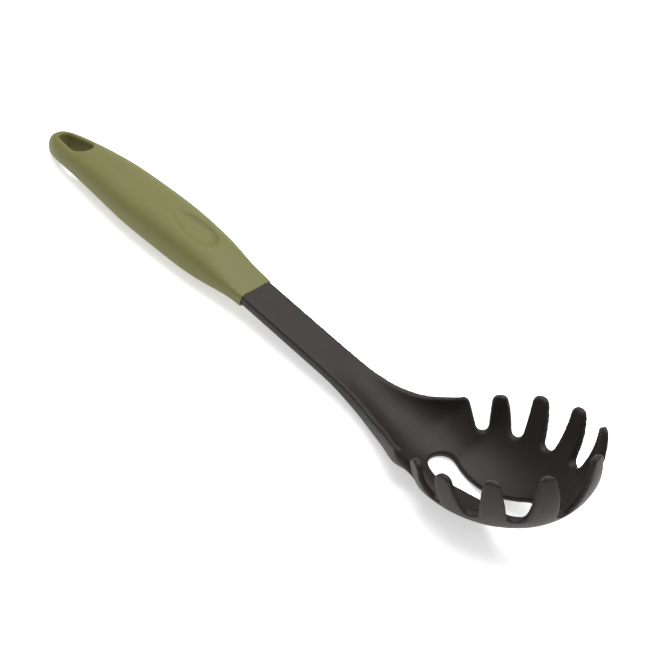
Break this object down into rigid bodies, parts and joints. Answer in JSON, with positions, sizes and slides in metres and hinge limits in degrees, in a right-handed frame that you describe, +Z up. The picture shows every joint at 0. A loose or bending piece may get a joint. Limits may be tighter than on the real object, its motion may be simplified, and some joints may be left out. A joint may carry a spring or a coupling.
{
  "type": "pasta server",
  "caption": "Long-handled pasta server: black pronged bowl with a drain slot on a flat stem, and a soft olive grip with a hang hole.",
  "frame": {"origin": "on the plane the part rests on, under the middle of its length and width", "axes": "+X from the handle end to the bowl's front, +Y across, +Z up, with the bowl's mouth upwards"},
  "size_m": [0.3274, 0.075, 0.0647],
  "materials": {
    "nylon_black": "satin moulded nylon with a very fine grain",
    "core_plastic": "plain moulded plastic, hidden in the grip",
    "grip_olive": "matte soft-touch overmould"
  },
  "bodies": {
    "root": {"server_head": "nylon_black", "handle_core": "core_plastic", "handle_grip": "grip_olive"}
  },
  "joints": []
}
